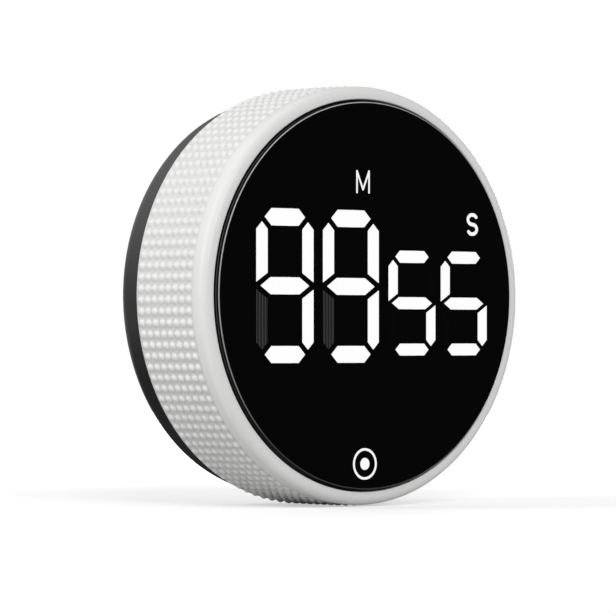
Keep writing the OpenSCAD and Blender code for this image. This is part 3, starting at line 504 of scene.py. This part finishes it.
def lensMaterial():
    # polished black acrylic: deep black, sharp gloss, faint wiping marks in the sheen, with a painted
    # highlight line on the edge bevel and a fainter one on the side, both strongest at the upper left, where
    # the light falls
    look = {"low": "#040404", "high": "#070707", "bevel": "#b8b8b8", "highlightRough": 0.3, "sheen": (0.3, 1.0),
            "smearMm": 18.0, "smearDeg": 35, "smearStretch": (1, 1, 4), "smearRange": (0.35, 0.7),
            "rough": (0.03, 0.08),
            "bevelR": (35.6, 35.66, 35.76, 35.82), "bevelZ": (-28.2, -28.1, -27.8, -27.72),
            "sideZ": (-27.46, -27.4, -27.2, -27.14), "sideShare": 0.23,
            "highlightFrom": (-0.707, 0, 0.707), "highlightReach": (-6.0, 30.0), "highlightLeast": 0.1}
    material, tree, place = newMaterial("blackAcrylicPolished")
    stretch = addNode(tree, "ShaderNodeMapping",
                      {"Rotation": (0, math.radians(look["smearDeg"]), 0), "Scale": look["smearStretch"]},
                      {"Vector": place})
    smear = addNode(tree, "ShaderNodeTexNoise", {"Scale": perMetre(look["smearMm"]), "Detail": 4.0},
                    {"Vector": stretch.outputs["Vector"]})
    flat = addNode(tree, "ShaderNodeVectorMath", {1: (1, 0, 1)}, {0: place}, operation="MULTIPLY")
    radius = addNode(tree, "ShaderNodeVectorMath", links={0: flat.outputs["Vector"]}, operation="LENGTH")
    axes = addNode(tree, "ShaderNodeSeparateXYZ", links={"Vector": place})
    line = bandMask(tree, radius.outputs["Value"], look["bevelR"])
    front = bandMask(tree, axes.outputs["Y"], look["bevelZ"])
    bevel = addNode(tree, "ShaderNodeMath", links={0: line.outputs["Value"], 1: front.outputs["Value"]},
                    operation="MULTIPLY")
    side = bandMask(tree, axes.outputs["Y"], look["sideZ"])
    lines = addNode(tree, "ShaderNodeMath", {1: look["sideShare"]},
                    {0: side.outputs["Value"], 2: bevel.outputs["Value"]}, operation="MULTIPLY_ADD")
    # painted highlight: the pale bevel colour is strongest at the upper left, where the light falls, and
    # fades towards the lower right
    leaning = addNode(tree, "ShaderNodeVectorMath", {1: look["highlightFrom"]}, {0: place},
                      operation="DOT_PRODUCT")
    share = addNode(tree, "ShaderNodeMapRange",
                    {"From Min": look["highlightReach"][0] * mm, "From Max": look["highlightReach"][1] * mm,
                     "To Min": look["highlightLeast"]}, {"Value": leaning.outputs["Value"]},
                    interpolation_type="SMOOTHSTEP")
    bevelHighlight = addNode(tree, "ShaderNodeMath", links={0: lines.outputs["Value"], 1: share.outputs["Result"]},
                    operation="MULTIPLY")
    body = addNode(tree, "ShaderNodeMix", {"A": linear(look["low"]), "B": linear(look["high"])},
                   {"Factor": smear.outputs["Fac"]}, data_type="RGBA")
    colour = addNode(tree, "ShaderNodeMix", {"B": linear(look["bevel"])},
                     {"Factor": bevelHighlight.outputs["Value"], "A": body.outputs["Result"]}, data_type="RGBA")
    gloss = addNode(tree, "ShaderNodeMapRange",
                    {"From Min": look["smearRange"][0], "From Max": look["smearRange"][1],
                     "To Min": look["rough"][0], "To Max": look["rough"][1]}, {"Value": smear.outputs["Fac"]})
    rough = addNode(tree, "ShaderNodeMix", {"B": look["highlightRough"]},
                    {"Factor": bevelHighlight.outputs["Value"], "A": gloss.outputs["Result"]}, data_type="FLOAT")
    sheen = addNode(tree, "ShaderNodeMapRange", {"To Min": look["sheen"][0], "To Max": look["sheen"][1]},
                    {"Value": bevelHighlight.outputs["Value"]})
    finishMaterial(tree, {"IOR": 1.49},
                   {"Base Color": colour.outputs["Result"], "Roughness": rough.outputs["Result"],
                    "Specular IOR Level": sheen.outputs["Result"]})
    return material


def segmentMaterial(name, look):
    # segment window of the lens: an acrylic light diffuser with fine upright ribs, drawn a little coarse
    # so that they show
    rib = {"sizeMm": 0.7, "waver": 0.6, "dimShare": 0.97, "rough": 0.05, "specular": 0.3}
    waveLength = math.tau / 20  # the wave node's own repeat
    material, tree, place = newMaterial(name)
    ribs = addNode(tree, "ShaderNodeTexWave",
                   {"Scale": perMetre(rib["sizeMm"]) * waveLength, "Distortion": rib["waver"], "Detail": 1.0},
                   {"Vector": place}, bands_direction="X")
    colour = addNode(tree, "ShaderNodeMix", {"A": linear(look["low"]), "B": linear(look["high"])},
                     {"Factor": ribs.outputs["Fac"]}, data_type="RGBA")
    light = addNode(tree, "ShaderNodeMapRange",
                    {"To Min": rib["dimShare"] * look["glow"], "To Max": look["glow"]},
                    {"Value": ribs.outputs["Fac"]})
    finishMaterial(tree, {"IOR": 1.49, "Roughness": rib["rough"], "Specular IOR Level": rib["specular"],
                          "Emission Color": (1, 1, 1, 1)},
                   {"Base Color": colour.outputs["Result"], "Emission Strength": light.outputs["Result"]})
    return material


dress(lensMaterial(), "front_lens")
segments = {
    "litDiffuser": ({"low": "#707070", "high": "#7a7a7a", "glow": 0.87},
                    ("minute_segments_lit", "second_segments_lit")),
    "darkDiffuser": ({"low": "#1e1e1e", "high": "#434343", "glow": 0.0}, ("minute_segments_dark",)),
    "blankDiffuser": ({"low": "#050505", "high": "#080808", "glow": 0.0}, ("second_segments_dark",)),
    "litPrint": ({"low": "#6e6e6e", "high": "#787878", "glow": 0.85}, ("unit_letters", "start_mark")),
}
for name, (look, parts) in segments.items():
    dress(segmentMaterial(name, look), *parts)
print("display dressed")


def placeCamera():
    # the photograph's view: low, from the left of the display
    view = {"azimuth": -40.49, "elevation": -0.43, "distance": 800.0, "focalPx": 4269.48, "framePx": 616,
            "right": 2.12, "up": 2.22, "sensorMm": 36.0, "clip": (0.01, 100.0)}
    a, e = math.radians(view["azimuth"]), math.radians(view["elevation"])
    back = Vector((math.sin(a) * math.cos(e), -math.cos(a) * math.cos(e), math.sin(e)))
    across = Vector((0, 0, 1)).cross(back).normalized()
    upward = back.cross(across)
    data = bpy.data.cameras.new("camera")
    data.sensor_width = view["sensorMm"]
    data.lens = view["focalPx"] / view["framePx"] * data.sensor_width
    data.clip_start, data.clip_end = view["clip"]
    camera = bpy.data.objects.new("camera", data)
    scene.collection.objects.link(camera)
    away = back * view["distance"] - across * view["right"] - upward * view["up"]
    turn = Matrix((across, upward, back)).transposed().to_4x4()
    camera.matrix_world = Matrix.Translation(middle + away * mm) @ turn
    scene.camera = camera


def addSoftbox(name, light):
    data = bpy.data.lights.new(name, "AREA")
    data.shape = "RECTANGLE"
    data.size, data.size_y = light["size"]
    data.energy = light["watts"]
    lamp = bpy.data.objects.new(name, data)
    scene.collection.objects.link(lamp)
    offset = Vector(light["from"]).normalized() * light["away"]
    lamp.location = middle + offset
    lamp.rotation_euler = offset.to_track_quat("Z", "Y").to_euler()


softboxes = {
    "keySoftbox": {"from": (-0.42, -0.79, 0.45), "away": 1.0, "size": (0.4, 0.4), "watts": 3.8},
    "rimStrip": {"from": (-0.85, 0.35, 0.40), "away": 1.0, "size": (0.15, 0.6), "watts": 2.8},
    "backSoftbox": {"from": (0.80, 0.58, 0.16), "away": 1.0, "size": (0.3, 0.3), "watts": 3.2},
}


def makeStage():
    # pale floor under the ring: white to the camera and to mirror rays, still shaded near the ring
    floorLook = {"radius": 0.62, "centre": (0.10, 0.50, -0.03905), "sides": 96,
                 "glowNear": 0.5, "glowFar": 1.0, "glowFrom": (0.06, 0.2),
                 "mirrorFront": 0.1, "mirrorBack": 0.5, "backFrom": (0.0, 0.15),
                 "fadeFrom": 0.5, "darkReflectionMm": (-20, 0, 60, 120), "darkReflectionShare": 0.65,
                 "tones": ("#d3d3d3", "#d8d8d8"), "mottleMm": 120, "rough": 0.9}
    bm = bmesh.new()
    bmesh.ops.create_circle(bm, cap_ends=True, radius=floorLook["radius"], segments=floorLook["sides"])
    bmesh.ops.translate(bm, vec=floorLook["centre"], verts=bm.verts[:])
    mesh = bpy.data.meshes.new("floor")
    bm.to_mesh(mesh)
    bm.free()
    floor = bpy.data.objects.new("floor", mesh)
    scene.collection.objects.link(floor)
    material, tree, place = newMaterial("paleFloor")
    ray = addNode(tree, "ShaderNodeLightPath")
    flat = addNode(tree, "ShaderNodeVectorMath", {1: (1, 1, 0)}, {0: place}, operation="MULTIPLY")
    away = addNode(tree, "ShaderNodeVectorMath", links={0: flat.outputs["Vector"]}, operation="LENGTH")
    rise = addNode(tree, "ShaderNodeMapRange",
                   {"From Min": floorLook["glowFrom"][0], "From Max": floorLook["glowFrom"][1]},
                   {"Value": away.outputs["Value"]}, interpolation_type="SMOOTHSTEP")
    plain = addNode(tree, "ShaderNodeMapRange",
                    {"To Min": floorLook["glowNear"], "To Max": floorLook["glowFar"]},
                    {"Value": rise.outputs["Result"]})
    seen = addNode(tree, "ShaderNodeMath",
                   links={0: ray.outputs["Is Camera Ray"], 1: plain.outputs["Result"]}, operation="MULTIPLY")
    mirror = addNode(tree, "ShaderNodeMath",
                     links={0: ray.outputs["Is Glossy Ray"], 1: ray.outputs["Is Transmission Ray"]},
                     operation="MAXIMUM")
    axes = addNode(tree, "ShaderNodeSeparateXYZ", links={"Vector": place})
    strength = addNode(tree, "ShaderNodeMapRange",
                       {"From Min": floorLook["backFrom"][0], "From Max": floorLook["backFrom"][1],
                        "To Min": floorLook["mirrorFront"], "To Max": floorLook["mirrorBack"]},
                       {"Value": axes.outputs["Y"]}, interpolation_type="SMOOTHSTEP")
    faint = addNode(tree, "ShaderNodeMath", links={0: rise.outputs["Result"], 1: strength.outputs["Result"]},
                    operation="MULTIPLY")
    mirrored = addNode(tree, "ShaderNodeMath", links={0: mirror.outputs["Value"], 1: faint.outputs["Value"]},
                       operation="MULTIPLY")
    glow = addNode(tree, "ShaderNodeMath", links={0: seen.outputs["Value"], 1: mirrored.outputs["Value"]},
                   operation="MAXIMUM")
    mottle = addNode(tree, "ShaderNodeTexNoise", {"Scale": perMetre(floorLook["mottleMm"]), "Detail": 2.0},
                     {"Vector": place})
    low, high = (linear(hexCode) for hexCode in floorLook["tones"])
    tone = addNode(tree, "ShaderNodeMix", {"A": low, "B": high},
                   {"Factor": mottle.outputs["Fac"]}, data_type="RGBA")
    # painted darker reflection: just behind the timer mirror rays see the floor darker, as if a dark card lay
    # there
    strip = bandMask(tree, axes.outputs["Y"], floorLook["darkReflectionMm"])
    share = addNode(tree, "ShaderNodeMath", {1: floorLook["darkReflectionShare"]}, {0: strip.outputs["Value"]},
                    operation="MULTIPLY")
    paintedDarkReflection = addNode(tree, "ShaderNodeMath", links={0: share.outputs["Value"], 1: ray.outputs["Is Glossy Ray"]},
                   operation="MULTIPLY")
    toned = addNode(tree, "ShaderNodeMix", {"B": (0, 0, 0, 1)},
                    {"Factor": paintedDarkReflection.outputs["Value"], "A": tone.outputs["Result"]}, data_type="RGBA")
    surface = addNode(tree, "ShaderNodeBsdfPrincipled",
                      {"Roughness": floorLook["rough"], "Specular IOR Level": 0.0,
                       "Emission Color": (1, 1, 1, 1)},
                      {"Base Color": toned.outputs["Result"], "Emission Strength": glow.outputs["Value"]})
    # mirror rays see the floor fade out towards its edge, so that the lens shows no hard line
    reach = addNode(tree, "ShaderNodeVectorMath", {1: floorLook["centre"]}, {0: place}, operation="DISTANCE")
    edge = addNode(tree, "ShaderNodeMapRange",
                   {"From Min": floorLook["fadeFrom"], "From Max": floorLook["radius"]},
                   {"Value": reach.outputs["Value"]}, interpolation_type="SMOOTHSTEP")
    fade = addNode(tree, "ShaderNodeMath", links={0: edge.outputs["Result"], 1: ray.outputs["Is Glossy Ray"]},
                   operation="MULTIPLY")
    clear = addNode(tree, "ShaderNodeBsdfTransparent")
    mixed = addNode(tree, "ShaderNodeMixShader",
                    links={0: fade.outputs["Value"], 1: surface.outputs["BSDF"], 2: clear.outputs["BSDF"]})
    addNode(tree, "ShaderNodeOutputMaterial", links={"Surface": mixed.outputs["Shader"]})
    mesh.materials.append(material)


def makeWorld():
    # white to the camera, an even fill on matt surfaces, and for mirror rays a bright wall behind and above,
    # dimmer on the right, with a dim room in front
    room = {"fill": 0.45, "front": 0.03, "frontEdge": (-0.45, 0.1), "backLow": 0.1, "backHigh": 1.8,
            "heightEdge": (-0.15, 0.4), "rightShare": 0.35, "rightEdge": (-0.15, 0.4)}
    world = bpy.data.worlds.new("studio")
    scene.world = world
    world.use_nodes = True
    tree = world.node_tree
    tree.nodes.clear()
    ray = addNode(tree, "ShaderNodeLightPath")
    place = addNode(tree, "ShaderNodeTexCoord").outputs["Generated"]
    axes = addNode(tree, "ShaderNodeSeparateXYZ", links={"Vector": place})
    above = addNode(tree, "ShaderNodeMapRange",
                    {"From Min": room["heightEdge"][0], "From Max": room["heightEdge"][1],
                     "To Min": room["backLow"], "To Max": room["backHigh"]},
                    {"Value": axes.outputs["Z"]}, interpolation_type="SMOOTHSTEP")
    right = addNode(tree, "ShaderNodeMapRange",
                    {"From Min": room["rightEdge"][0], "From Max": room["rightEdge"][1],
                     "To Min": 1.0, "To Max": room["rightShare"]},
                    {"Value": axes.outputs["X"]}, interpolation_type="SMOOTHSTEP")
    high = addNode(tree, "ShaderNodeMath", links={0: above.outputs["Result"], 1: right.outputs["Result"]},
                   operation="MULTIPLY")
    behind = addNode(tree, "ShaderNodeMapRange",
                     {"From Min": room["frontEdge"][0], "From Max": room["frontEdge"][1],
                      "To Min": room["front"]},
                     {"Value": axes.outputs["Y"], "To Max": high.outputs["Value"]},
                     interpolation_type="SMOOTHSTEP")
    mirror = addNode(tree, "ShaderNodeMath",
                     links={0: ray.outputs["Is Glossy Ray"], 1: ray.outputs["Is Transmission Ray"]},
                     operation="MAXIMUM")
    matt = addNode(tree, "ShaderNodeMix", {"A": room["fill"]},
                   {"Factor": mirror.outputs["Value"], "B": behind.outputs["Result"]}, data_type="FLOAT")
    level = addNode(tree, "ShaderNodeMix", {"B": 1.0},
                    {"Factor": ray.outputs["Is Camera Ray"], "A": matt.outputs["Result"]}, data_type="FLOAT")
    light = addNode(tree, "ShaderNodeBackground", {"Color": (1, 1, 1, 1)},
                    {"Strength": level.outputs["Result"]})
    addNode(tree, "ShaderNodeOutputWorld", links={"Surface": light.outputs["Background"]})


placeCamera()
for lampName, lampSettings in softboxes.items():
    addSoftbox(lampName, lampSettings)
makeStage()
makeWorld()
scene.view_settings.view_transform = "Standard"
print("stage set")
